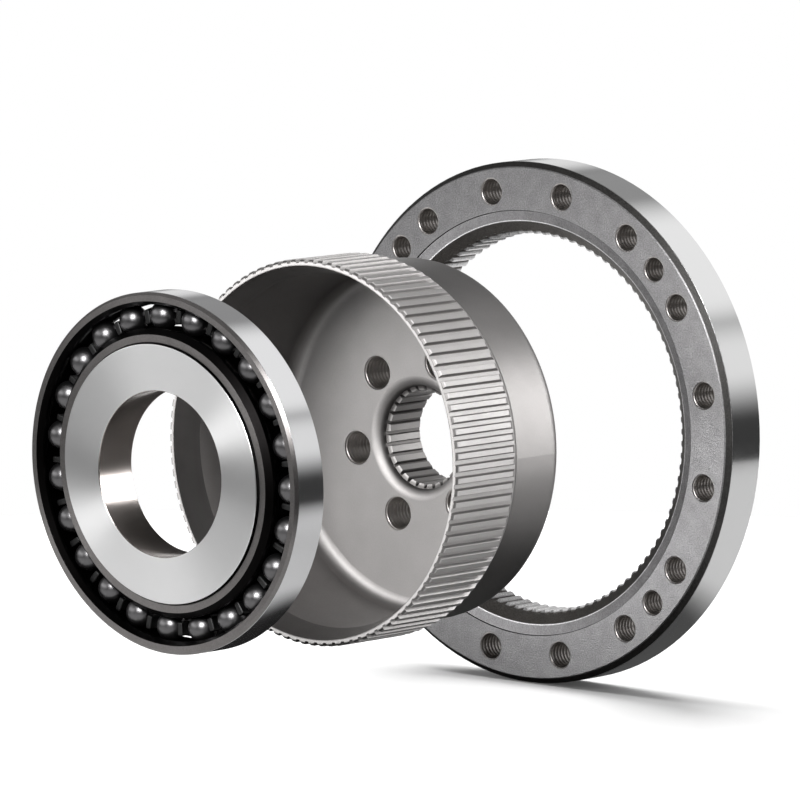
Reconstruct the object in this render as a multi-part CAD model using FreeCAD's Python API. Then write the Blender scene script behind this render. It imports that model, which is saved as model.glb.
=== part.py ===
import FreeCAD, Part
import math
import os

# Strain wave gear component set, drawn apart along its own axis.
# The axis is Y. The circular spline is at the back, the wave generator at the front (-Y).
# The origin is the centre of the circular spline's front face. Sizes are in millimetres.

# Teeth
module = 0.8
circular_teeth = 102
tooth_difference = 2
addendum_share = 0.45
dedendum_share = 0.625
cup_tip_width = 0.40
cup_root_width = 0.68
ring_gap_mouth = 0.70
ring_gap_bottom = 0.42

# Circular spline
ring_diameter = 112.0
ring_width = 11.0
ring_front_chamfer = 1.3
ring_back_chamfer = 0.8
recess_step = 0.3
recess_depth = 0.9
recess_land = 2.2
recess_slope = 0.1
ring_tooth_land = 2.0
ring_back_land = 0.3
tooth_bevel_depth = 2.3
ring_bolt_count = 16
ring_bolt_edge = 6.0
ring_bolt_hole = 5.5
ring_jack_count = 4
ring_jack_hole = 5.0
ring_jack_start = 45.0
hole_chamfer = 0.25

# Flexspline
tooth_wall = 2.45
body_step = 1.3
band_length = 21.0
cup_depth = 33.5
diaphragm = 2.0
rim_bevel_depth = 0.55
rim_bevel_drop = 0.5
rim_land = 0.9
lead_in_length = 6.0
run_out_slope = 0.6
inner_fillet = 3.0
outer_fillet = 3.0
hub_length = 11.5
hub_radius = 22.5
hub_fillet = 1.5
hub_edge = 0.6
hub_bolt_count = 6
hub_bolt_radius = 17.3
hub_bolt_hole = 6.8
hub_bolt_start = 11.25
spline_teeth = 28
spline_root = 10.9
spline_depth = 0.9
spline_gap_mouth = 0.42
spline_gap_bottom = 0.26
bore_lead = 2.3
bore_lead_clearance = 0.05
bore_round = 2.2
spline_end_slope = 0.3
bore_back_edge = 0.6

# Wave generator
race_fit = 0.05
race_width = 8.6
ball_radius = 3.0
groove_clearance = 0.06
shoulder_height = 0.62
outer_race_wall = 1.94
inner_race_wall = 2.34
outer_race_chamfer = 0.65
inner_race_chamfer = 0.3
outer_race_land = 1.2
inner_race_land = 1.5
relief_depth = 1.2
plug_overhang = 0.6
plug_bore_radius = 17.0
plug_chamfer = 0.3
plug_rim_wall = 3.5
cage_clearance = 0.15
cage_finger = 0.9
cage_front = 1.2
cage_back = 1.4
cage_edge = 0.2
pocket_clearance = 0.1
ball_start = 94.0
major_axis_angle = -40.0

# Spacing of the three groups
ring_to_hub_gap = 21.3
cup_to_generator_gap = 36.6

# How far a cutter runs past the face it cuts
overrun = 1.0

# Sizes that follow
flex_teeth = circular_teeth - tooth_difference
wave = module * tooth_difference / 2
addendum = addendum_share * module
dedendum = dedendum_share * module
circular_pitch_radius = module * circular_teeth / 2
flex_pitch_radius = module * flex_teeth / 2
circular_tip = circular_pitch_radius - addendum
circular_root = circular_pitch_radius + dedendum
flex_tip = flex_pitch_radius + addendum
flex_root = flex_pitch_radius - dedendum
ring_outer = ring_diameter / 2
ring_bolt_circle = ring_outer - ring_bolt_edge
cup_bore = flex_root - tooth_wall
cup_body = flex_root - body_step
cup_floor = cup_depth + diaphragm
cup_length = cup_floor + hub_length
spline_tip = spline_root - spline_depth
rim_front = -(ring_to_hub_gap + cup_length)
groove_radius = ball_radius + groove_clearance
shoulder = groove_radius - shoulder_height
race_outer = cup_bore - race_fit
outer_offset = groove_radius + outer_race_wall
seat_offset = groove_radius + inner_race_wall
ball_path = race_outer - outer_offset
race_half = race_width / 2
ball_row = rim_front - cup_to_generator_gap - race_half
pocket_radius = ball_radius + wave + pocket_clearance
cage_half = shoulder - wave - cage_clearance
ball_count = int(2 * math.pi * ball_path / (2 * pocket_radius + cage_finger))


def around(radius, degrees, y):
    """A point at a radius and angle about the Y axis, the angle from +X towards +Z."""
    a = math.radians(degrees)
    return FreeCAD.Vector(radius * math.cos(a), y, radius * math.sin(a))


def outline(corners):
    """A closed wire of (r, y, rounding) corners in the plane z = 0."""
    count = len(corners)
    ends = []
    for i, (r, y, rounding) in enumerate(corners):
        here = FreeCAD.Vector(r, y, 0)
        before = FreeCAD.Vector(corners[i - 1][0], corners[i - 1][1], 0) - here
        after = FreeCAD.Vector(corners[(i + 1) % count][0], corners[(i + 1) % count][1], 0) - here
        before.normalize()
        after.normalize()
        if rounding == 0:
            ends.append((here, here, here))
            continue
        half = before.getAngle(after) / 2
        reach = rounding / math.tan(half)
        middle = before + after
        middle.normalize()
        centre = here + middle * (rounding / math.sin(half))
        ends.append((here + before * reach, centre - middle * rounding, here + after * reach))
    edges = []
    for i, (start, middle, end) in enumerate(ends):
        if start != end:
            edges.append(Part.Arc(start, middle, end).toShape())
        edges.append(Part.LineSegment(end, ends[(i + 1) % count][0]).toShape())
    return Part.Wire(edges)


def turned(corners):
    """The solid that a profile sweeps when it is turned about the Y axis."""
    axis = FreeCAD.Vector(0, 1, 0)
    return Part.Face(outline(corners)).revolve(FreeCAD.Vector(0, 0, 0), axis, 360)


def toothed(count, root, tip, root_width, tip_width, start, length):
    """A prism along Y whose outline has straight-sided teeth, their widths given as shares of the pitch."""
    pitch = 360.0 / count
    tip_half = tip_width * pitch / 2
    root_half = root_width * pitch / 2
    points = []
    for i in range(count):
        middle = i * pitch
        points.append(around(root, middle - root_half, start))
        points.append(around(tip, middle - tip_half, start))
        points.append(around(tip, middle + tip_half, start))
        points.append(around(root, middle + root_half, start))
    points.append(points[0])
    return Part.Face(Part.makePolygon(points)).extrude(FreeCAD.Vector(0, length, 0))


def drilled(solid, diameter, pitch_radius, angles, start, end):
    """The solid with holes parallel to Y, each with a small chamfer at both faces."""
    along = FreeCAD.Vector(0, 1, 0)
    back = FreeCAD.Vector(0, -1, 0)
    radius = diameter / 2
    wide = radius + hole_chamfer
    tools = []
    for angle in angles:
        tools.append(Part.makeCylinder(radius, end - start, around(pitch_radius, angle, start), along))
        tools.append(Part.makeCone(wide, radius, hole_chamfer, around(pitch_radius, angle, start), along))
        tools.append(Part.makeCone(wide, radius, hole_chamfer, around(pitch_radius, angle, end), back))
    return solid.cut(tools)


def spread(count, start):
    """Equally spaced angles in degrees."""
    return [start + i * 360.0 / count for i in range(count)]


def ball_path_wire():
    """The ellipse that the ball centres follow round the wave generator."""
    centre = FreeCAD.Vector(0, ball_row, 0)
    major = around(ball_path + wave, major_axis_angle, ball_row)
    minor = around(ball_path - wave, major_axis_angle + 90, ball_row)
    return Part.Wire([Part.Ellipse(major, minor, centre).toShape()])


def on_path(offset, y):
    """A section point at a distance outside the ball path and along Y from the ball row."""
    return around(ball_path + wave + offset, major_axis_angle, ball_row + y)


def swept(edges):
    """The solid that a section makes when it is carried round the ball path."""
    return ball_path_wire().makePipeShell([Part.Wire(edges)], True, True)


def race(side, land, back_offset, edge):
    """A race section on one side of the ball row: side is 1 for the outer race and -1 for the inner."""
    groove_half = math.sqrt(groove_radius ** 2 - shoulder ** 2)
    lower = [
        (back_offset, edge - race_half),
        (back_offset - edge, -race_half),
        (back_offset - edge - land, -race_half),
        (shoulder, relief_depth - race_half),
        (shoulder, -groove_half),
    ]
    upper = [(offset, -y) for offset, y in reversed(lower)]
    low = [on_path(side * offset, y) for offset, y in lower]
    high = [on_path(side * offset, y) for offset, y in upper]
    edges = [Part.LineSegment(a, b).toShape() for a, b in zip(low, low[1:])]
    edges.append(Part.Arc(low[-1], on_path(side * groove_radius, 0), high[0]).toShape())
    edges += [Part.LineSegment(a, b).toShape() for a, b in zip(high, high[1:])]
    edges.append(Part.LineSegment(high[-1], low[0]).toShape())
    return swept(edges)


def circular_spline():
    """Rigid ring with internal teeth and a ring of screw holes."""
    bore = circular_tip - overrun
    land = circular_root + ring_tooth_land
    bevel = tooth_bevel_depth / (land - circular_tip)
    back_start = circular_root + ring_back_land
    face = land + recess_land
    blank = turned([
        (face + recess_slope, 0, 0),
        (ring_outer - ring_front_chamfer, 0, 0),
        (ring_outer, ring_front_chamfer, 0),
        (ring_outer, ring_width - ring_back_chamfer, 0),
        (ring_outer - ring_back_chamfer, ring_width, 0),
        (back_start, ring_width, 0),
        (bore, ring_width - (back_start - bore), 0),
        (bore, recess_depth + bevel * (land - bore), 0),
        (land, recess_depth, 0),
        (face, recess_step, 0),
    ])
    gaps = (circular_teeth, circular_tip, circular_root, ring_gap_mouth, ring_gap_bottom)
    ring = blank.cut(toothed(*gaps, -overrun, ring_width + 2 * overrun))
    screws = spread(ring_bolt_count, 180.0 / ring_bolt_count)
    jacks = spread(ring_jack_count, ring_jack_start)
    ring = drilled(ring, ring_bolt_hole, ring_bolt_circle, screws, 0, ring_width)
    return drilled(ring, ring_jack_hole, ring_bolt_circle, jacks, 0, ring_width)


def flexspline():
    """Thin cup with external teeth round its open end and a splined hub at its closed end."""
    outer = flex_tip + overrun
    rim_outer = flex_tip - rim_bevel_drop
    rim_slope = rim_bevel_depth / rim_bevel_drop
    bore = spline_tip - overrun
    lead_radius = spline_root + bore_lead_clearance
    back_chamfer = spline_root + bore_back_edge - bore
    corners = [
        (rim_outer, 0, 0),
        (outer, rim_slope * (outer - rim_outer), 0),
        (outer, band_length - (outer - cup_body) / run_out_slope, 0),
        (cup_body, band_length, 0),
        (cup_body, cup_floor, outer_fillet),
        (hub_radius, cup_floor, hub_fillet),
        (hub_radius, cup_length, hub_edge),
        (bore + back_chamfer, cup_length, 0),
        (bore, cup_length - back_chamfer, 0),
        (bore, cup_depth + bore_lead + spline_end_slope * (lead_radius - bore), 0),
        (lead_radius, cup_depth + bore_lead, 0),
        (lead_radius, cup_depth, bore_round),
        (cup_bore, cup_depth, inner_fillet),
        (cup_bore, lead_in_length, 0),
        (rim_outer - rim_land, 0, 0),
    ]
    cup = turned([(r, y + rim_front, rounding) for r, y, rounding in corners])
    before_rim = rim_front - overrun
    cut_length = band_length + overrun
    base = FreeCAD.Vector(0, before_rim, 0)
    sleeve = Part.makeCylinder(outer + overrun, cut_length, base, FreeCAD.Vector(0, 1, 0))
    teeth = (flex_teeth, flex_root, flex_tip, cup_root_width, cup_tip_width)
    gaps = sleeve.cut(toothed(*teeth, before_rim, cut_length))
    before_floor = rim_front + cup_depth - overrun
    grooves = (spline_teeth, spline_tip, spline_root, spline_gap_mouth, spline_gap_bottom)
    bore_void = toothed(*grooves, before_floor, cup_length)
    cup = cup.cut(gaps).cut(bore_void)
    start = rim_front + cup_depth
    angles = spread(hub_bolt_count, hub_bolt_start)
    return drilled(cup, hub_bolt_hole, hub_bolt_radius, angles, start, rim_front + cup_length)


def wave_generator_plug():
    """Oval plug that carries the bearing, with a round shaft bore."""
    half = race_half + plug_overhang
    seat = -seat_offset
    inside = seat - plug_rim_wall
    section = [
        (seat, plug_chamfer - half),
        (seat, half - plug_chamfer),
        (seat - plug_chamfer, half),
        (inside, half),
        (inside, -half),
        (seat - plug_chamfer, -half),
    ]
    points = [on_path(offset, y) for offset, y in section]
    points.append(points[0])
    rim = swept(Part.makePolygon(points).Edges)
    core_radius = ball_path + inside + plug_rim_wall / 2
    edge = hole_chamfer
    core = turned([
        (plug_bore_radius + edge, ball_row - half, 0),
        (core_radius, ball_row - half, 0),
        (core_radius, ball_row + half, 0),
        (plug_bore_radius + edge, ball_row + half, 0),
        (plug_bore_radius, ball_row + half - edge, 0),
        (plug_bore_radius, ball_row - half + edge, 0),
    ])
    return rim.fuse(core).removeSplitter()


def ball_cage():
    """Crown cage: a ring behind the balls with fingers that reach forward between them."""
    inner = ball_path - cage_half
    outer = ball_path + cage_half
    front = ball_row - cage_front
    back = ball_row + pocket_radius + cage_back
    ring = turned([
        (inner + cage_edge, front, 0),
        (outer - cage_edge, front, 0),
        (outer, front + cage_edge, 0),
        (outer, back - cage_edge, 0),
        (outer - cage_edge, back, 0),
        (inner + cage_edge, back, 0),
        (inner, back - cage_edge, 0),
        (inner, front + cage_edge, 0),
    ])
    pockets = []
    for angle in spread(ball_count, ball_start):
        out = around(1, angle, 0)
        base = around(inner - overrun, angle, ball_row)
        pockets.append(Part.makeCylinder(pocket_radius, 2 * (cage_half + overrun), base, out))
    return ring.cut(pockets)


def ball_centre(angle):
    """Where the oval holds the ball that belongs to this cage pocket."""
    offset = around(wave, 2 * major_axis_angle - angle, 0)
    return around(ball_path, angle, ball_row) + offset


parts = {
    "circular_spline": circular_spline(),
    "flexspline": flexspline(),
    "wave_generator_plug": wave_generator_plug(),
    "inner_race": race(-1, inner_race_land, seat_offset, inner_race_chamfer),
    "outer_race": race(1, outer_race_land, outer_offset, outer_race_chamfer),
    "ball_cage": ball_cage(),
}
for number, angle in enumerate(spread(ball_count, ball_start), 1):
    parts["ball_%02d" % number] = Part.makeSphere(ball_radius, ball_centre(angle))

for name, shape in parts.items():
    if shape.ShapeType == "Compound" and len(shape.Solids) == 1:
        shape = shape.Solids[0]
    shape.exportStep("parts/%s.step" % name)
    print(name, shape.ShapeType, shape.isValid(), round(shape.Volume, 1))
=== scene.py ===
import math
import bpy
import numpy as np
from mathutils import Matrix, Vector


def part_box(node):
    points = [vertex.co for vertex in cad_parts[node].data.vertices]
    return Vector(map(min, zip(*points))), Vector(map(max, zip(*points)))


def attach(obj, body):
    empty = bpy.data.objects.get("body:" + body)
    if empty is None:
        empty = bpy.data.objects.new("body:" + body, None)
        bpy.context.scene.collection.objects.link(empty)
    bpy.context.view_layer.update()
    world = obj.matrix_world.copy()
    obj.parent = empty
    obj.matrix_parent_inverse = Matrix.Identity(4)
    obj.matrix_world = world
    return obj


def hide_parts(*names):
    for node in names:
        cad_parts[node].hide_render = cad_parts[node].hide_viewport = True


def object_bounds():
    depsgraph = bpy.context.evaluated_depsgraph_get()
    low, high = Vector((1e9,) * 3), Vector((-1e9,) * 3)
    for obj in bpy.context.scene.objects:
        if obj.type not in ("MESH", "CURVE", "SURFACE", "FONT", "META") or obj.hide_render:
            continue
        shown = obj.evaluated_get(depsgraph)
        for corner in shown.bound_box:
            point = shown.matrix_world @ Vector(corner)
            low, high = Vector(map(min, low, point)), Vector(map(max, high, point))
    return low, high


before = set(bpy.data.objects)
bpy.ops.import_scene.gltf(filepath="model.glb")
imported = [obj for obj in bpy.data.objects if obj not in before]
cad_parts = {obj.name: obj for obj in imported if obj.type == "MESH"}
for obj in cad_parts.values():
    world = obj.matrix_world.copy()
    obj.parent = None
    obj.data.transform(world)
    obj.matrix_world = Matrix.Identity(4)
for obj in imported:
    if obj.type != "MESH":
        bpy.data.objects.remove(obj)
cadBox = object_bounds()
mm = 0.001


# Colours and node helpers

def linearColor(hexCode):
    # sRGB hex to linear RGBA
    parts = [int(hexCode[i:i + 2], 16) / 255 for i in (1, 3, 5)]
    return [c / 12.92 if c <= 0.04045 else ((c + 0.055) / 1.055) ** 2.4 for c in parts] + [1.0]


def addNode(tree, kind, settings=None, links=None):
    # settings: node properties or input values, by name or number
    # links: output sockets, by the name or number of the input that they feed
    node = tree.nodes.new(kind)
    for key, value in (settings or {}).items():
        if isinstance(key, str) and hasattr(node, key):
            setattr(node, key, value)
        else:
            node.inputs[key].default_value = value
    for key, socket in (links or {}).items():
        tree.links.new(socket, node.inputs[key])
    return node


def newMaterial(name):
    material = bpy.data.materials.new(name)
    material.use_nodes = True
    tree = material.node_tree
    return material, tree, tree.nodes["Principled BSDF"]


# Surfaces

def roundedLoop(corners, steps=5, support=0.04):
    # Closed outline through (a, b, radius) corners: each corner is an arc tangent to both sides,
    # with one more point just outside each end so that flat sides stay flat when shaded smooth.
    points = np.array([c[:2] for c in corners], dtype=float)
    radii = np.array([c[2] for c in corners], dtype=float)
    before = np.roll(points, 1, axis=0) - points
    after = np.roll(points, -1, axis=0) - points
    before /= np.linalg.norm(before, axis=1, keepdims=True)
    after /= np.linalg.norm(after, axis=1, keepdims=True)
    half = np.arccos(np.clip((before * after).sum(1), -1, 1)) / 2
    reach = radii / np.tan(half)
    middle = before + after
    middle /= np.linalg.norm(middle, axis=1, keepdims=True)
    centre = points + middle * (radii / np.sin(half))[:, None]
    sweep = np.pi / 2 - half
    turn = np.linspace(-1, 1, steps)
    side = after - before
    side /= np.linalg.norm(side, axis=1, keepdims=True)
    angle = sweep[:, None] * turn[None, :]
    arc = (centre[:, None] - middle[:, None] * (radii[:, None] * np.cos(angle))[..., None]
           + side[:, None] * (radii[:, None] * np.sin(angle))[..., None])
    first = points + before * (reach + support)[:, None]
    last = points + after * (reach + support)[:, None]
    return np.concatenate([first[:, None], arc, last[:, None]], axis=1).reshape(-1, 2)


def ovalPath(size, offset, turns):
    # Point at a distance outside the ball path, an ellipse of half axes r + w and r - w:
    # ellipse point plus offset times the unit normal, turned to the major axis angle.
    a = size["ballPath"] + size["wave"]
    b = size["ballPath"] - size["wave"]
    x, z = a * np.cos(turns), b * np.sin(turns)
    nx, nz = b * np.cos(turns), a * np.sin(turns)
    length = np.hypot(nx, nz)
    x, z = x + offset * nx / length, z + offset * nz / length
    tilt = math.radians(size["majorAxisAngle"])
    return x * math.cos(tilt) - z * math.sin(tilt), x * math.sin(tilt) + z * math.cos(tilt)


def gridMesh(name, points, closedAcross=True, zones=None, flip=False):
    # Quads over grids of points [copy, around, across, xyz] in millimetres, each closed around.
    # The UV map runs round the piece with u and across it with v.
    if points.ndim == 3:
        points = points[None]
    copies, around, across = points.shape[:3]
    cells = across if closedAcross else across - 1
    k, i, j = np.meshgrid(np.arange(copies), np.arange(around), np.arange(cells), indexing="ij")
    iNext, jNext = (i + 1) % around, (j + 1) % across
    spot = [(k * around + a) * across + b for a, b in ((i, j), (i, jNext), (iNext, jNext), (iNext, j))]
    quads = np.stack(spot, -1)
    gap = np.linalg.norm(np.roll(points, -1, axis=2) - points, axis=-1).mean((0, 1))
    reach = np.concatenate([[0], np.cumsum(gap)])
    u = np.stack([i, i, i + 1, i + 1], -1) / around
    v = np.stack([reach[j], reach[j + 1], reach[j + 1], reach[j]], -1) / reach[-1]
    uv = np.stack([u, v], -1)
    if flip:
        quads, uv = quads[..., ::-1], uv[..., ::-1, :]
    quads = quads.reshape(-1, 4)
    mesh = bpy.data.meshes.new(name)
    mesh.vertices.add(points.size // 3)
    mesh.vertices.foreach_set("co", (points * mm).astype(np.float32).ravel())
    mesh.loops.add(quads.size)
    mesh.loops.foreach_set("vertex_index", quads.ravel().astype(np.int32))
    mesh.polygons.add(len(quads))
    mesh.polygons.foreach_set("loop_start", np.arange(0, quads.size, 4, dtype=np.int32))
    mesh.polygons.foreach_set("use_smooth", np.ones(len(quads), dtype=bool))
    if zones is not None:
        mesh.polygons.foreach_set("material_index", np.tile(zones, copies * around).astype(np.int32))
    layer = mesh.uv_layers.new(name="turned")
    layer.data.foreach_set("uv", uv.astype(np.float32).ravel())
    mesh.update()
    mesh.validate()
    piece = bpy.data.objects.new(name, mesh)
    bpy.context.scene.collection.objects.link(piece)
    return piece


def fitPiece(piece, body, materials, replaced=None):
    # The piece's finishes, the body it rides on and the CAD node it stands for
    for material in materials:
        piece.data.materials.append(material)
    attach(piece, body)
    if replaced:
        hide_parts(replaced)


def ballRow():
    low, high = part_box("ball_01")
    return (low[1] + high[1]) / 2 / mm


# Finishes

noiseUse = {
    "fineDetail": 2.0,
    "slowDetail": 3.0,
    "middle": (0.3, 0.7),  # nearly all of a noise's values lie between these
    "dull": (0.2, 0.35),  # roughness at which grain starts to show, and from which it shows in full
}


def steelLook(name, look):
    # Steel with a slow mottling of its tone and a fine grain in its roughness and relief.
    # zones: (low, high, soft, color, roughness) rings of distance from the gear axis in millimetres; some
    # paint shade and some paint highlights
    material, tree, shader = newMaterial(name)
    where = addNode(tree, "ShaderNodeTexCoord").outputs["Object"]
    fine = addNode(tree, "ShaderNodeTexNoise",
                   {"Scale": 1 / (look["grain"] * mm), "Detail": noiseUse["fineDetail"]},
                   {"Vector": where}).outputs["Fac"]
    slow = addNode(tree, "ShaderNodeTexNoise",
                   {"Scale": 1 / (look["blotch"] * mm), "Detail": noiseUse["slowDetail"]},
                   {"Vector": where}).outputs["Fac"]
    flat = addNode(tree, "ShaderNodeVectorMath", {"operation": "MULTIPLY", 1: (1, 0, 1)}, {0: where})
    radius = addNode(tree, "ShaderNodeVectorMath", {"operation": "LENGTH"},
                     {0: flat.outputs["Vector"]}).outputs["Value"]
    color = addNode(tree, "ShaderNodeRGB").outputs[0]
    color.default_value = linearColor(look["color"])
    rough = addNode(tree, "ShaderNodeValue").outputs[0]
    rough.default_value = look["roughness"]
    for low, high, soft, zoneColor, zoneRough in look.get("zones", ()):
        rise = addNode(tree, "ShaderNodeMapRange",
                       {"From Min": (low - soft) * mm, "From Max": (low + soft) * mm}, {"Value": radius})
        fall = addNode(tree, "ShaderNodeMapRange",
                       {"From Min": (high + soft) * mm, "From Max": (high - soft) * mm}, {"Value": radius})
        inside = addNode(tree, "ShaderNodeMath", {"operation": "MULTIPLY"},
                         {0: rise.outputs["Result"], 1: fall.outputs["Result"]}).outputs[0]
        color = addNode(tree, "ShaderNodeMix", {"data_type": "RGBA", 7: linearColor(zoneColor)},
                        {0: inside, 6: color}).outputs[2]
        rough = addNode(tree, "ShaderNodeMix", {"data_type": "FLOAT", 3: zoneRough},
                        {0: inside, 2: rough}).outputs[0]
    low, high = noiseUse["dull"]
    dull = addNode(tree, "ShaderNodeMapRange", {"From Min": low, "From Max": high},
                   {"Value": rough}).outputs["Result"]
    # each spread turns a noise into a factor from 1 - share to 1 + share
    low, high = noiseUse["middle"]
    spread = {}
    for part, noise in (("toneSpread", slow), ("speckle", fine), ("grainSpread", fine)):
        share = look.get(part, 0.0)
        spread[part] = addNode(
            tree, "ShaderNodeMapRange",
            {"From Min": low, "From Max": high, "To Min": 1 - share, "To Max": 1 + share},
            {"Value": noise}).outputs["Result"]
    tone = addNode(tree, "ShaderNodeMath", {"operation": "MULTIPLY"},
                   {0: spread["toneSpread"], 1: spread["speckle"]}).outputs[0]
    tone = addNode(tree, "ShaderNodeMix", {"data_type": "FLOAT", 2: 1.0}, {0: dull, 3: tone}).outputs[0]
    color = addNode(tree, "ShaderNodeVectorMath", {"operation": "SCALE"}, {0: color, "Scale": tone})
    rough = addNode(tree, "ShaderNodeMath", {"operation": "MULTIPLY"},
                    {0: rough, 1: spread["grainSpread"]})
    tree.links.new(color.outputs["Vector"], shader.inputs["Base Color"])
    tree.links.new(rough.outputs[0], shader.inputs["Roughness"])
    shader.inputs["Metallic"].default_value = 1.0
    if look.get("relief"):
        bump = addNode(tree, "ShaderNodeBump", {"Distance": look["relief"] * mm},
                       {"Height": fine, "Strength": dull})
        tree.links.new(bump.outputs["Normal"], shader.inputs["Normal"])
    if look.get("brushing"):
        shader.inputs["Anisotropic"].default_value = look["brushing"]
        shader.inputs["Anisotropic Rotation"].default_value = look["brushTurn"]
        tangent = addNode(tree, "ShaderNodeTangent", {"direction_type": "UV_MAP", "uv_map": "turned"})
        tree.links.new(tangent.outputs["Tangent"], shader.inputs["Tangent"])
    return material


# Blasted and ground alloy steel of the ring: a grainy mid grey, its rim polished; its edges, recess and
# tooth gaps painted dark as shade, its tooth tips and the step's line painted light as highlights
ringLook = {
    "color": "#959495",
    "roughness": 0.42,
    "grain": 0.3,
    "blotch": 3.0,
    "toneSpread": 0.1,
    "grainSpread": 0.18,
    "relief": 0.06,
    "speckle": 0.26,
    "zones": [
        (0, 40.9, 0.3, "#d9d8d8", 0.35),  # tooth tips, painted light as a highlight
        (40.95, 43.2, 0.1, "#625f5c", 0.42),  # tooth gaps and the face round them, painted dark as shade
        (43.25, 43.45, 0.05, "#d4d3d4", 0.42),  # light line of the step: a painted highlight
        (43.5, 45.45, 0.1, "#7d7c7d", 0.45),  # floor of the recess, painted darker as shade
        (45.5, 45.65, 0.03, "#232222", 0.6),  # dark line of the recess's edge: painted shade
        (54.92, 55.92, 0.05, "#444342", 0.5),  # front bevel, painted dark as shade
        (55.95, 60, 0.02, "#dadada", 0.12),  # polished rim
    ],
}
# Satin hardened steel of the cup: smooth mid grey, its tooth band lighter; painted shade darkens its tooth
# flanks, inside wall, fillet and hub spline gaps
cupLook = {
    "color": "#7e7c7b",
    "roughness": 0.42,
    "grain": 0.3,
    "blotch": 8.0,
    "toneSpread": 0.04,
    "grainSpread": 0.08,
    "relief": 0.01,
    "zones": [
        (9, 35.6, 0.5, "#8d8b8a", 0.56),  # diaphragm
        (10.35, 11.2, 0.2, "#5c5a59", 0.5),  # gaps of the hub's spline, painted dark as shade
        (35.6, 37.9, 0.5, "#6f6d6c", 0.5),  # inside wall and the fillet below it, painted darker as shade that narrows the fillet's highlight
        # the tooth flanks between the next two zones keep the body's darker tone: painted shade along the
        # flanks
        (39.1, 39.7, 0.1, "#acaaa9", 0.6),  # tooth gaps
        (40.2, 41, 0.05, "#b0aead", 0.6),  # tooth tips
    ],
}
# Face-turned and polished steel of the plug: bright, with the fan of light of circular tool marks
plugLook = {"color": "#ececec", "roughness": 0.36, "grain": 0.5, "blotch": 9.0, "toneSpread": 0.01,
            "grainSpread": 0.01, "brushing": 0.9, "brushTurn": 0.25}
# Ground and polished bearing steel: mirror bright, only slightly soft
raceLook = {"color": "#d6d6d7", "roughness": 0.12, "grain": 0.4, "blotch": 9.0, "toneSpread": 0.01,
            "grainSpread": 0.03}
# Same steel, finely turned: the narrow front faces look plain grey
raceFaceLook = {"color": "#827f7e", "roughness": 0.38, "grain": 0.3, "blotch": 4.0, "toneSpread": 0.06,
                "grainSpread": 0.1, "speckle": 0.1, "brushing": 0.8, "brushTurn": 0.25}
# Grooves and reliefs deep in the bearing and the plug's wall beside the race: painted nearly black as shade
grooveShadeLook = {"color": "#0f0e0e", "roughness": 0.4, "grain": 0.3, "blotch": 5.0, "toneSpread": 0.1,
              "grainSpread": 0.1}
# Polished bearing balls, darkened to stand in for the dark surroundings they mirror: painted shade
ballLook = {"color": "#727172", "roughness": 0.33, "grain": 0.5, "blotch": 4.0, "toneSpread": 0.05,
            "grainSpread": 0.05}
# Tapped thread walls: brownish grey, cut with a tool
threadLook = {"color": "#aeaaa7", "roughness": 0.35, "grain": 0.3, "blotch": 3.0, "toneSpread": 0.1,
              "grainSpread": 0.1}
# Honed shaft bore: a duller mirror with a brownish cast
boreLook = {"color": "#bdb6b2", "roughness": 0.2, "grain": 0.4, "blotch": 5.0, "toneSpread": 0.03,
            "grainSpread": 0.05}
finish = {
    "ring": steelLook("blastedSteelRing", ringLook),
    "cup": steelLook("satinSteelCup", cupLook),
    "plug": steelLook("turnedSteelPlug", plugLook),
    "race": steelLook("polishedSteelRace", raceLook),
    "raceFace": steelLook("turnedSteelRaceFace", raceFaceLook),
    "groove": steelLook("oiledSteelGroove", grooveShadeLook),
    "ball": steelLook("polishedSteelBall", ballLook),
    "thread": steelLook("tappedSteelThread", threadLook),
    "bore": steelLook("honedSteelBore", boreLook),
}
# Black moulded cage: glossy black that shows only where an edge catches a lamp
cageLook = {"color": "#080808", "roughness": 0.42}
finish["cage"], _, cageShader = newMaterial("mouldedNylonBlack")
cageShader.inputs["Base Color"].default_value = linearColor(cageLook["color"])
cageShader.inputs["Roughness"].default_value = cageLook["roughness"]
print("finishes made")


def dress(node, material):
    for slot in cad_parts[node].material_slots:
        slot.material = material


dress("circular_spline", finish["ring"])
dress("flexspline", finish["cup"])
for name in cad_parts:
    if name.startswith("ball_") and name != "ball_cage":
        dress(name, finish["ball"])

# Wave generator, in millimetres and degrees
generator = {
    "ballPath": 32.0,
    "wave": 0.8,
    "majorAxisAngle": -40.0,
    "halfWidth": 4.3,
    "grooveRadius": 3.06,
    "shoulder": 2.44,
    "reliefDepth": 1.2,
    # the races: side of the ball path, wall behind the groove, width of the front face, bevel
    "outer": {"side": 1, "wall": 1.94, "land": 1.2, "edge": 0.65},
    "inner": {"side": -1, "wall": 2.34, "land": 1.5, "edge": 0.3},
    "raceCorner": 0.06,
    "reliefCorner": 0.05,
    "polishedShare": 0.15,  # how far the outside's polish reaches over the bevel
    "groovePoints": 17,
    "plugHalf": 4.9,
    "boreRadius": 17.0,
    "boreCorner": 0.2,
    "boreSkin": 0.1,
    "seatCorner": 0.3,
    "seatSkin": 0.12,
    "around": 360,
}


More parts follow.
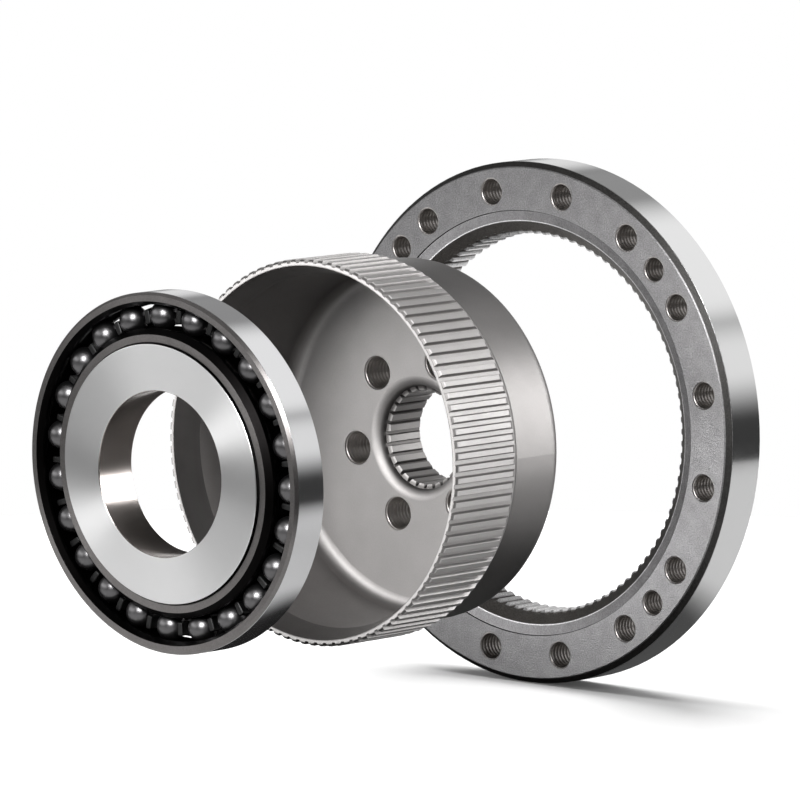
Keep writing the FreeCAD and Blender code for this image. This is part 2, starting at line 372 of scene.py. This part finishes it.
def raceRing(name, size, race):
    # A race section (distance from the ball path, along the axis) carried round the oval: the groove
    # is an arc, and straight lines with rounded corners go round the wall behind it.
    # Zones: 0 polished outside, 1 groove and relief painted dark as shade, 2 narrow front and back faces
    half, edge, shoulder = size["halfWidth"], race["edge"], size["shoulder"]
    soft, deep = size["raceCorner"], size["reliefCorner"]
    back = size["grooveRadius"] + race["wall"]
    face = back - edge - race["land"]
    lip = math.sqrt(size["grooveRadius"] ** 2 - shoulder ** 2)
    relief = half - size["reliefDepth"]
    grooveTurn = np.linspace(-1, 1, size["groovePoints"]) * math.asin(lip / size["grooveRadius"])
    groove = np.stack([np.cos(grooveTurn), np.sin(grooveTurn)], 1) * size["grooveRadius"]
    corners = [(shoulder, relief, deep), (face, half, soft), (back - edge, half, soft),
               (back, half - edge, soft), (back, edge - half, soft), (back - edge, -half, soft),
               (face, -half, soft), (shoulder, -relief, deep)]
    # a last corner on the ball path closes the outline there, and its seven points are dropped
    rim = roundedLoop(corners + [(0, 0, deep)])[:-7]
    section = np.concatenate([groove, rim])
    middle = (section + np.roll(section, -1, axis=0)) / 2
    zones = np.where(middle[:, 0] > face, 2, 1)
    zones[middle[:, 0] > back - edge * size["polishedShare"]] = 0
    turns = np.arange(size["around"]) / size["around"] * 2 * np.pi
    x, z = ovalPath(size, race["side"] * section[None, :, 0], turns[:, None])
    y = np.broadcast_to(ballRow() + section[None, :, 1], x.shape)
    return gridMesh(name, np.stack([x, y, z], -1), zones=zones, flip=race["side"] < 0)


raceFinish = [finish["race"], finish["groove"], finish["raceFace"]]
outerRing = raceRing("outerRaceRing", generator, generator["outer"])
fitPiece(outerRing, "plug", raceFinish, "outer_race")
innerRing = raceRing("innerRaceRing", generator, generator["inner"])
fitPiece(innerRing, "plug", raceFinish, "inner_race")


def ovalPlug(name, size):
    # Section corners (distance out from the bore, along the axis): each point slides from the round
    # bore to the oval seat by its share of the wall.
    # Zones: 0 turned faces, 1 the wall beside the race, painted dark as shade, 2 the bore
    half = size["plugHalf"]
    seat = size["grooveRadius"] + size["inner"]["wall"]
    wall = size["ballPath"] - seat - size["boreRadius"]
    loop = roundedLoop([(0, -half, size["boreCorner"]), (0, half, size["boreCorner"]),
                        (wall, half, size["seatCorner"]), (wall, -half, size["seatCorner"])])
    share = np.clip(loop[:, 0] / wall, 0, 1)
    turns = np.arange(size["around"]) / size["around"] * 2 * np.pi
    seatX, seatZ = ovalPath(size, -seat, turns)
    tilt = math.radians(size["majorAxisAngle"])
    boreX = size["boreRadius"] * np.cos(turns + tilt)
    boreZ = size["boreRadius"] * np.sin(turns + tilt)
    x = boreX[:, None] * (1 - share) + seatX[:, None] * share
    z = boreZ[:, None] * (1 - share) + seatZ[:, None] * share
    y = np.broadcast_to(ballRow() + loop[None, :, 1], x.shape)
    middle = (loop[:, 0] + np.roll(loop[:, 0], -1)) / 2
    zones = np.where(middle > wall - size["seatSkin"], 1, 0)
    zones[middle < size["boreSkin"]] = 2
    return gridMesh(name, np.stack([x, y, z], -1), zones=zones, flip=True)


plug = ovalPlug("ovalPlugBody", generator)
plugFinish = [finish["plug"], finish["groove"], finish["bore"]]
fitPiece(plug, "plug", plugFinish, "wave_generator_plug")

# Crown cage: one ring behind the balls, and between the balls fingers with waists, in millimetres
cage = {
    "balls": 23,
    "start": 94.0,
    "pocket": 3.9,
    "halfThickness": 1.45,
    "reachForward": 1.2,
    "edge": 0.28,
    "squareness": 0.35,
    "ringFront": 3.8,
    "ringBack": 5.3,
    "flange": 2.3,
    "flangeDepth": 0.9,
    "ringCorner": 0.1,
    "flangeCorner": 0.2,
    "stepCorner": 0.05,
    "fingerSunk": 0.3,
    "pocketRows": 22,
    "tipRows": 5,
    "around": 24,
    "ringAround": 360,
}


def crownCage(name, size):
    # A finger's half width is half the ball pitch less the pocket's half chord at that height,
    # so its sides follow the round pockets; its tip closes with a quarter-round edge. Outline of a
    # finger seen from the front: (half width * sign cos * |cos|^s, half thickness * sign sin * |sin|^s)
    pitch = 2 * math.pi * generator["ballPath"] / size["balls"]
    low = -math.asin(size["reachForward"] / size["pocket"])
    turn = np.linspace(low, math.pi / 2, size["pocketRows"])
    along = size["pocket"] * np.sin(turn)
    half = pitch / 2 - size["pocket"] * np.cos(turn)
    bend = np.linspace(0, math.pi / 2, size["tipRows"])
    tip = along[0] - size["edge"] * np.cos(bend)
    end = size["ringBack"] - size["fingerSunk"]
    shut = 10  # more than any half width, so both ends of a finger close to a point
    along = np.concatenate([[tip[0]], tip, along[1:], [end, end]])
    inset = np.concatenate([[shut], size["edge"] * (1 - np.sin(bend)), np.zeros(len(turn)), [shut]])
    half = np.concatenate([np.full(len(bend) + 1, half[0]), half[1:], [half[-1], half[-1]]])
    around = np.arange(size["around"]) / size["around"] * 2 * np.pi
    shapeX = np.sign(np.cos(around)) * np.abs(np.cos(around)) ** size["squareness"]
    shapeY = np.sign(np.sin(around)) * np.abs(np.sin(around)) ** size["squareness"]
    width = np.maximum(half - inset, 0)[None, :] * shapeX[:, None]
    thick = np.maximum(size["halfThickness"] - inset, 0)[None, :] * shapeY[:, None]
    middle = math.radians(size["start"]) + (np.arange(size["balls"]) + 0.5) * 2 * np.pi / size["balls"]
    angle = middle[:, None, None] + width[None] / generator["ballPath"]
    radius = generator["ballPath"] + np.broadcast_to(thick[None], angle.shape)
    y = ballRow() + np.broadcast_to(along[None, None, :], angle.shape)
    points = np.stack([radius * np.cos(angle), y, radius * np.sin(angle)], -1)
    fingers = gridMesh(name + "Fingers", points, closedAcross=False)
    near, far, wide, thick = size["ringFront"], size["ringBack"], size["flange"], size["halfThickness"]
    step = far - size["flangeDepth"]
    plain, outside, inside = size["ringCorner"], size["flangeCorner"], size["stepCorner"]
    back = roundedLoop([(-thick, near, plain), (thick, near, plain), (thick, step, inside),
                        (wide, step, plain), (wide, far, outside), (-wide, far, outside),
                        (-wide, step, plain), (-thick, step, inside)])
    turns = np.arange(size["ringAround"]) / size["ringAround"] * 2 * np.pi
    radius = generator["ballPath"] + back[None, :, 0]
    x, z = radius * np.cos(turns)[:, None], radius * np.sin(turns)[:, None]
    y = np.broadcast_to(ballRow() + back[None, :, 1], x.shape)
    return fingers, gridMesh(name + "Ring", np.stack([x, y, z], -1))


fingers, cageRing = crownCage("crownCage", cage)
fitPiece(fingers, "cage", [finish["cage"]], "ball_cage")
fitPiece(cageRing, "cage", [finish["cage"]])
print("wave generator made")

# Threads in the screw holes, at the pitch of a 6 mm screw, in millimetres and degrees
thread = {
    "pitch": 1.0,
    "around": 24,
    "rowsPerTurn": 6,
    "sunk": 0.3,
    "lipReach": 0.27,
    "lipRise": 0.29,
}
holes = {
    "ring": {"body": "circular_spline", "slot": "ring_steel", "circle": 50.0, "count": 16, "start": 11.25,
             "radius": 2.75, "depth": 0.13, "front": 0.27, "back": 10.7},
    "jack": {"body": "circular_spline", "slot": "ring_steel", "circle": 50.0, "count": 4, "start": 45.0,
             "radius": 2.5, "depth": 0.13, "front": 0.27, "back": 10.7},
    "hub": {"body": "flexspline", "slot": "cup_steel", "circle": 17.3, "count": 6, "start": 11.25,
            "radius": 3.4, "depth": 0.22, "front": -34.53, "back": -21.6},
}


def threadWalls(name, size):
    # Wall radius = hole radius - depth * (1 + cos(2 pi (y / pitch - turn))) / 2: a helix, closed behind
    # by a plain tube sunk in the metal; a thin lip lies over the hole's bevelled edge
    turns = np.arange(thread["around"]) / thread["around"]
    rows = int((size["back"] - size["front"]) / thread["pitch"] * thread["rowsPerTurn"])
    y = np.linspace(size["front"], size["back"], rows)
    wave = np.cos(2 * np.pi * (y[None, :] / thread["pitch"] - turns[:, None]))
    wall = size["radius"] - size["depth"] * (0.5 + 0.5 * wave)
    lip = size["radius"] + np.repeat([[thread["sunk"], thread["lipReach"]]], thread["around"], axis=0)
    sunk = np.full((thread["around"], 1), size["radius"] + thread["sunk"])
    radius = np.concatenate([lip, wall, sunk], axis=1)
    along = np.concatenate([[y[0], y[0] - thread["lipRise"]], y, [y[-1]]])
    spread = np.radians(size["start"] + np.arange(size["count"]) * 360 / size["count"])
    cx, cz = size["circle"] * np.cos(spread), size["circle"] * np.sin(spread)
    x = cx[:, None, None] + (radius * np.cos(turns * 2 * np.pi)[:, None])[None]
    z = cz[:, None, None] + (radius * np.sin(turns * 2 * np.pi)[:, None])[None]
    points = np.stack([x, np.broadcast_to(along[None, None, :], x.shape), z], -1)
    return gridMesh(name, points)


for kind, size in holes.items():
    fitPiece(threadWalls(kind + "Threads", size), size["body"], [finish["thread"]])
print("threads made")

# Studio
studio = {
    "floorRadius": 320.0,
    "floorHole": 0.01,
    "floorCentre": (0.0, -50.0),
    "floorAround": 96,
    "floorRings": 8,
    "floorSeen": 0.05,
    "floorColor": "#dedede",
    # metal sees the floor in a darker tone than the camera does: painted shade
    "floorMirrored": "#b1b1b1",
    "floorDark": "#1a1a1a",
    "floorRoughness": 0.9,
    # painted shadows that metal sees in the floor: dark soft-edged patches given by middle and half lengths
    # along X and Y and strength; each fades between these two shares of its half lengths
    "patches": [(-6.0, -10.0, 60.0, 46.0, 0.9), (-18.0, -62.0, 42.0, 28.0, 1.0)],
    "patchFade": (1.45, 1.05),
    # where the floor, as metal sees it, is painted dark on the right as shade: the direction across that
    # edge, its middle and softness
    "litWay": (1.0, -0.2, 0.0),
    "litEdge": (175.0, 55.0),
    "baseLevel": 0.05,
    # soft light walls: (azimuth of the middle, half width, lowest and highest elevation, soft edge,
    # level), and the degrees over which each fades to its sides
    "walls": [
        (48, 35, 6, 26, 7, 0.95),
        (60, 45, 26, 50, 5, 1.05),
        (128, 22, 2, 20, 6, 0.8),
        (125, 25, 20, 50, 6, 0.3),
        (230, 28, 8, 28, 5, 2.05),
        (230, 50, 28, 65, 8, 0.35),
        (230, 24, -16, 4, 5, 0.26),
    ],
    "wallFade": 12,
}


def studioWorld(size):
    # White for the camera; metal sees a dark studio with soft bright walls on three sides
    world = bpy.data.worlds.new("studio")
    world.use_nodes = True
    bpy.context.scene.world = world
    tree = world.node_tree
    tree.nodes.clear()
    way = addNode(tree, "ShaderNodeTexCoord").outputs["Generated"]
    height = addNode(tree, "ShaderNodeSeparateXYZ", None, {"Vector": way}).outputs["Z"]
    elevation = addNode(tree, "ShaderNodeMath", {"operation": "ARCSINE"}, {0: height}).outputs[0]
    flat = addNode(tree, "ShaderNodeVectorMath", {"operation": "MULTIPLY", 1: (1, 1, 0)}, {0: way})
    level = addNode(tree, "ShaderNodeVectorMath", {"operation": "NORMALIZE"}, {0: flat.outputs["Vector"]})
    total = None
    for azimuth, halfWidth, low, high, soft, strength in size["walls"]:
        middle = (math.cos(math.radians(azimuth)), math.sin(math.radians(azimuth)), 0)
        facing = addNode(tree, "ShaderNodeVectorMath", {"operation": "DOT_PRODUCT", 1: middle},
                         {0: level.outputs["Vector"]})
        inner = math.cos(math.radians(max(halfWidth - size["wallFade"], 0)))
        outer = math.cos(math.radians(halfWidth + size["wallFade"]))
        across = addNode(tree, "ShaderNodeMapRange",
                         {"interpolation_type": "SMOOTHSTEP", "From Min": outer, "From Max": inner},
                         {"Value": facing.outputs["Value"]})
        rise = addNode(tree, "ShaderNodeMapRange",
                       {"interpolation_type": "SMOOTHSTEP", "From Min": math.radians(low - soft),
                        "From Max": math.radians(low + soft)}, {"Value": elevation})
        fall = addNode(tree, "ShaderNodeMapRange",
                       {"interpolation_type": "SMOOTHSTEP", "From Min": math.radians(high + soft),
                        "From Max": math.radians(high - soft)}, {"Value": elevation})
        both = addNode(tree, "ShaderNodeMath", {"operation": "MULTIPLY"},
                       {0: rise.outputs["Result"], 1: fall.outputs["Result"]})
        patch = addNode(tree, "ShaderNodeMath", {"operation": "MULTIPLY"},
                        {0: both.outputs[0], 1: across.outputs["Result"]})
        bright = addNode(tree, "ShaderNodeMath", {"operation": "MULTIPLY", 1: strength},
                         {0: patch.outputs[0]}).outputs[0]
        total = bright if total is None else addNode(
            tree, "ShaderNodeMath", {"operation": "MAXIMUM"}, {0: total, 1: bright}).outputs[0]
    total = addNode(tree, "ShaderNodeMath", {"operation": "ADD", 1: size["baseLevel"]}, {0: total})
    paths = addNode(tree, "ShaderNodeLightPath")
    sky = addNode(tree, "ShaderNodeBackground", {"Color": (1, 1, 1, 1)}, {"Strength": total.outputs[0]})
    white = addNode(tree, "ShaderNodeBackground", {"Color": (1, 1, 1, 1), "Strength": 1.0})
    seen = addNode(tree, "ShaderNodeMath", {"operation": "MAXIMUM"},
                   {0: paths.outputs["Is Camera Ray"], 1: paths.outputs["Is Transmission Ray"]})
    mix = addNode(tree, "ShaderNodeMixShader", None,
                  {0: seen.outputs[0], 1: sky.outputs[0], 2: white.outputs[0]})
    addNode(tree, "ShaderNodeOutputWorld", None, {"Surface": mix.outputs[0]})


def floorDisc(size):
    # Flat disc under the ring, r from floorHole to floorRadius. The camera sees its lamp-lit white and the
    # shadow; metal sees it in a painted darker tone with painted shadow patches and a painted dark far side,
    # d = length of (offset / half lengths), dark where d < 1
    turns = np.arange(size["floorAround"]) / size["floorAround"] * 2 * np.pi
    radius = np.linspace(size["floorHole"], size["floorRadius"], size["floorRings"])[None, :]
    x = size["floorCentre"][0] + radius * np.cos(turns)[:, None]
    y = size["floorCentre"][1] + radius * np.sin(turns)[:, None]
    level = np.full(x.shape, cadBox[0][2] / mm)
    disc = gridMesh("studioFloor", np.stack([x, y, level], -1), closedAcross=False, flip=True)
    material, tree, shader = newMaterial("paleFloor")
    where = addNode(tree, "ShaderNodeTexCoord").outputs["Object"]
    dark = None
    low, high = size["patchFade"]
    for patch in size["patches"]:
        px, py, hx, hy = [v * mm for v in patch[:4]]
        offset = addNode(tree, "ShaderNodeVectorMath", {"operation": "SUBTRACT", 1: (px, py, 0)}, {0: where})
        share = addNode(tree, "ShaderNodeVectorMath", {"operation": "MULTIPLY", 1: (1 / hx, 1 / hy, 0)},
                        {0: offset.outputs["Vector"]})
        reach = addNode(tree, "ShaderNodeVectorMath", {"operation": "LENGTH"}, {0: share.outputs["Vector"]})
        shade = addNode(tree, "ShaderNodeMapRange",
                        {"interpolation_type": "SMOOTHSTEP", "From Min": low, "From Max": high,
                         "To Max": patch[4]}, {"Value": reach.outputs["Value"]}).outputs["Result"]
        dark = shade if dark is None else addNode(
            tree, "ShaderNodeMath", {"operation": "MAXIMUM"}, {0: shade, 1: dark}).outputs[0]
    edge, soft = size["litEdge"]
    away = addNode(tree, "ShaderNodeVectorMath", {"operation": "DOT_PRODUCT", 1: size["litWay"]}, {0: where})
    far = addNode(tree, "ShaderNodeMapRange",
                  {"interpolation_type": "SMOOTHSTEP", "From Min": (edge - soft) * mm,
                   "From Max": (edge + soft) * mm}, {"Value": away.outputs["Value"]})
    dark = addNode(tree, "ShaderNodeMath", {"operation": "MAXIMUM"}, {0: dark, 1: far.outputs["Result"]})
    paths = addNode(tree, "ShaderNodeLightPath")
    # in reflections only: the painted shadow patches and the painted dark far side
    dark = addNode(tree, "ShaderNodeMath", {"operation": "MULTIPLY"},
                   {0: dark.outputs[0], 1: paths.outputs["Is Glossy Ray"]})
    tone = addNode(tree, "ShaderNodeMix",
                   {"data_type": "RGBA", 6: linearColor(size["floorColor"]),
                    7: linearColor(size["floorMirrored"])}, {0: paths.outputs["Is Glossy Ray"]})
    tone = addNode(tree, "ShaderNodeMix", {"data_type": "RGBA", 7: linearColor(size["floorDark"])},
                   {0: dark.outputs[0], 6: tone.outputs[2]})
    tree.links.new(tone.outputs[2], shader.inputs["Base Color"])
    shader.inputs["Roughness"].default_value = size["floorRoughness"]
    shader.inputs["Specular IOR Level"].default_value = 0.0
    shader.inputs["Emission Color"].default_value = (1, 1, 1, 1)
    glow = addNode(tree, "ShaderNodeMath", {"operation": "MULTIPLY", 1: size["floorSeen"]},
                   {0: paths.outputs["Is Camera Ray"]})
    tree.links.new(glow.outputs[0], shader.inputs["Emission Strength"])
    disc.data.materials.append(material)
    return disc


def lamp(name, azimuth, elevation, distance, size, power, target=(0, -60, 0), lights=(), shades=()):
    # Soft box that looks at a target from a direction. Where lights or shades name pieces,
    # only those are lit by it or stand in its way.
    light = bpy.data.lights.new(name, "AREA")
    light.shape = "RECTANGLE"
    light.size, light.size_y = size[0] * mm, size[1] * mm
    light.energy = power
    piece = bpy.data.objects.new(name, light)
    bpy.context.scene.collection.objects.link(piece)
    turn, rise = math.radians(azimuth), math.radians(elevation)
    way = Vector((math.cos(turn) * math.cos(rise), math.sin(turn) * math.cos(rise), math.sin(rise)))
    piece.location = (Vector(target) + way * distance) * mm
    piece.rotation_euler = way.to_track_quat("Z", "Y").to_euler()
    for part, chosen in (("receiver", lights), ("blocker", shades)):
        if chosen:
            group = bpy.data.collections.new(name + part.capitalize())
            for other in chosen:
                group.objects.link(other)
            setattr(piece.light_linking, part + "_collection", group)


studioWorld(studio)
disc = floorDisc(studio)

# Camera at the photograph's viewpoint
view = {
    "yaw": 41.51,
    "pitch": 6.77,
    "lookAt": (-35.807, 0.0, 2.203),
    "distance": 1720.2,
    "focal": 7947.5,  # in pixels
    "picture": 800,  # its width in pixels
    "sensor": 36,
    "clipEnd": 20,
}


def photoCamera(size):
    # Stands at the look-at point plus distance times the unit vector towards the camera
    yaw, pitch = math.radians(size["yaw"]), math.radians(size["pitch"])
    back = Vector((math.sin(yaw) * math.cos(pitch), -math.cos(yaw) * math.cos(pitch), math.sin(pitch)))
    data = bpy.data.cameras.new("photoCamera")
    data.sensor_width = size["sensor"]
    data.lens = size["focal"] / size["picture"] * size["sensor"]
    data.clip_end = size["clipEnd"]
    camera = bpy.data.objects.new("photoCamera", data)
    bpy.context.scene.collection.objects.link(camera)
    camera.location = (Vector(size["lookAt"]) + back * size["distance"]) * mm
    camera.rotation_euler = back.to_track_quat("Z", "Y").to_euler()
    bpy.context.scene.camera = camera


photoCamera(view)
ring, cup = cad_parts["circular_spline"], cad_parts["flexspline"]
metal = [piece for piece in bpy.data.objects if piece.type == "MESH" and piece != disc]
lamps = {
    "keyBox": {"azimuth": -60, "elevation": 30, "distance": 900, "size": (420, 420), "power": 10.0,
               "lights": metal},
    "ringBox": {"azimuth": 232, "elevation": -4, "distance": 150, "size": (60, 60), "power": 0.06,
                "target": (45, 0, -12), "lights": (ring,), "shades": (ring,)},
    "cupSideBox": {"azimuth": 50, "elevation": 12, "distance": 420, "size": (160, 320), "power": 1.2,
                   "target": (20, -40, 0), "lights": (cup,)},
    "cupMouthBox": {"azimuth": 258, "elevation": 21, "distance": 420, "size": (240, 240), "power": 2.9,
                    "target": (0, -40, -10), "lights": (cup,), "shades": (cup,)},
    "boreBox": {"azimuth": 50, "elevation": 14, "distance": 300, "size": (110, 110), "power": 0.45,
                "target": (0, -109, 0), "lights": (plug,), "shades": (plug,)},
    # lights the floor only, and only the standing ring shades it, as in the photograph
    "floorBox": {"azimuth": 150, "elevation": 64, "distance": 1400, "size": (1300, 1300), "power": 42.0,
                 "target": (0, 0, -56), "lights": (disc,), "shades": (ring,)},
}
for name, setting in lamps.items():
    lamp(name, **setting)
bpy.context.scene.view_settings.view_transform = "Standard"
print("studio made")
